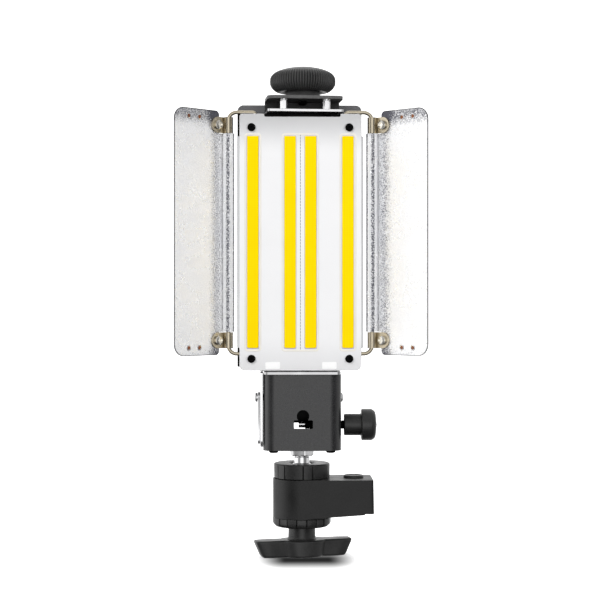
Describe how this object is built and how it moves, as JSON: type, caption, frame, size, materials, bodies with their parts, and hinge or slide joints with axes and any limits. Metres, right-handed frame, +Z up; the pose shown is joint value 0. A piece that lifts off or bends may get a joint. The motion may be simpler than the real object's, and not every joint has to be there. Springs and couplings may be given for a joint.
{
  "type": "portable led lamp with barn doors on a ball head",
  "caption": "Portable LED lamp with a white strip-light board, folding reflector doors, top clamp and keyed mounting box, on a ball head with a T-handle.",
  "frame": {"origin": "centre of the flat underside of the T-handle, on the ball head axis", "axes": "+Z up along the ball head axis, the lamp faces -Y, +X towards the side knob and the spigot arm"},
  "size_m": [0.1642, 0.0877, 0.3286],
  "materials": {
    "board_white": "white solder mask, satin",
    "phosphor": "yellow phosphor silicone, satin",
    "black_steel": "black oxide, satin",
    "black_paint": "fine textured black powder coat",
    "cast_black": "textured black coat on a casting",
    "black_anodised": "black anodised",
    "black_plastic": "moulded black, fine grain",
    "grey_shell": "dark grey powder coat",
    "bright_steel": "bright plated",
    "chrome": "polished",
    "nickel": "nickel plate, warm",
    "reflector": "bright hammered reflector sheet",
    "circuit": "green circuit board"
  },
  "bodies": {
    "base": {"clamp_body": "cast_black", "arm_cap": "black_plastic"},
    "lock_ring": {"lock_ring": "black_plastic"},
    "ball_seat": {"ball_seat": "black_plastic"},
    "t_handle": {"t_handle": "black_plastic", "t_screw": "bright_steel"},
    "ball_collar": {"ball_collar": "black_plastic"},
    "ball": {"ball": "chrome"},
    "stud": {"ball_stud": "chrome", "lock_nut": "bright_steel", "inner_nut": "bright_steel"},
    "clamp_foot": {"clamp_foot": "black_steel"},
    "clamp_knob": {"clamp_knob": "black_plastic", "clamp_stud": "black_steel"},
    "side_tip": {"side_tip": "bright_steel"},
    "side_knob": {"side_knob": "black_plastic", "side_stud": "black_steel"},
    "side_latch": {"side_latch": "bright_steel"},
    "dimmer_knob": {"dimmer_knob": "black_plastic"},
    "door_left": {"door_panel_left": "reflector", "door_clip_left_top": "nickel", "door_clip_left_low": "nickel", "clip_bolt_left_top": "nickel", "clip_bolt_left_low": "nickel"},
    "door_right": {"door_panel_right": "reflector", "door_clip_right_top": "nickel", "door_clip_right_low": "nickel", "clip_bolt_right_top": "nickel", "clip_bolt_right_low": "nickel"},
    "head": {"mount_chassis": "bright_steel", "mount_cover": "black_paint", "side_plate": "bright_steel", "cross_bolt": "bright_steel", "dome_nut": "bright_steel", "foot_screw_left": "black_steel", "foot_screw_right": "black_steel", "led_board": "board_white", "led_carrier": "bright_steel", "heat_sink": "black_anodised", "rear_cover": "grey_shell", "driver_board": "circuit", "dc_inlet": "black_plastic", "door_wire_left": "nickel", "door_wire_right": "nickel", "top_strap": "bright_steel", "clamp_plate": "black_paint", "cob_strip_1": "phosphor", "board_screw_1": "black_steel", "cob_strip_2": "phosphor", "board_screw_2": "black_steel", "cob_strip_3": "phosphor", "board_screw_3": "black_steel", "cob_strip_4": "phosphor", "board_screw_4": "black_steel", "clamp_standoff_left": "bright_steel", "strap_screw_left": "black_steel", "clamp_standoff_right": "bright_steel", "strap_screw_right": "black_steel"}
  },
  "joints": [
    {"name": "ball_seat_travel", "type": "slide", "parent": "base", "child": "ball_seat", "axis": [0, 0, 1], "range_m": [-0.003, 0]},
    {"name": "t_handle_turn", "type": "hinge", "parent": "ball_seat", "child": "t_handle", "pos_m": [0, 0, 0.012], "axis": [0, 0, 1], "range_deg": [-864, 0]},
    {"name": "lock_ring_turn", "type": "hinge", "parent": "base", "child": "lock_ring", "pos_m": [0, 0, 0.0235], "axis": [0, 0, 1], "range_deg": [0, 270]},
    {"name": "ball_collar_turn", "type": "hinge", "parent": "base", "child": "ball_collar", "pos_m": [0, 0, 0.0576], "axis": [0, 0, 1], "range_deg": [0, 270]},
    {"name": "ball_pan", "type": "hinge", "parent": "base", "child": "ball", "pos_m": [0, 0, 0.057], "axis": [0, 0, 1], "continuous": true},
    {"name": "ball_tilt", "type": "hinge", "parent": "ball", "child": "stud", "pos_m": [0, 0, 0.057], "axis": [1, 0, 0], "range_deg": [-24, 24]},
    {"name": "head_swivel", "type": "hinge", "parent": "stud", "child": "head", "pos_m": [0, 0, 0.0725], "axis": [0, 0, 1], "continuous": true},
    {"name": "door_left_swing", "type": "hinge", "parent": "head", "child": "door_left", "pos_m": [-0.0489, -0.01805, 0.2165], "axis": [0, 0, 1], "range_deg": [-105, 108]},
    {"name": "door_right_swing", "type": "hinge", "parent": "head", "child": "door_right", "pos_m": [0.0461, -0.01805, 0.2165], "axis": [0, 0, -1], "range_deg": [-105, 108]},
    {"name": "clamp_foot_travel", "type": "slide", "parent": "head", "child": "clamp_foot", "axis": [0, 0, 1], "range_m": [0, 0.003]},
    {"name": "clamp_knob_turn", "type": "hinge", "parent": "clamp_foot", "child": "clamp_knob", "pos_m": [0.00056, -0.002, 0.3197], "axis": [0, 0, 1], "range_deg": [0, 1080]},
    {"name": "side_tip_travel", "type": "slide", "parent": "head", "child": "side_tip", "axis": [1, 0, 0], "range_m": [-0.0022, 0.005]},
    {"name": "side_knob_turn", "type": "hinge", "parent": "side_tip", "child": "side_knob", "pos_m": [0.04, 0, 0.0883], "axis": [1, 0, 0], "range_deg": [-792, 1800]},
    {"name": "side_latch_swing", "type": "hinge", "parent": "head", "child": "side_latch", "pos_m": [-0.0288, 0, 0.1067], "axis": [1, 0, 0], "range_deg": [0, 100]},
    {"name": "dimmer_turn", "type": "hinge", "parent": "head", "child": "dimmer_knob", "pos_m": [0.0186, 0.033, 0.148], "axis": [0, -1, 0], "range_deg": [0, 270]}
  ],
  "couplings": [
    {"joint": "ball_seat_travel", "follows": "t_handle_turn", "m_per_rad": 0.00019894},
    {"joint": "clamp_foot_travel", "follows": "clamp_knob_turn", "m_per_rad": 0.00015915},
    {"joint": "side_tip_travel", "follows": "side_knob_turn", "m_per_rad": 0.00015915}
  ]
}
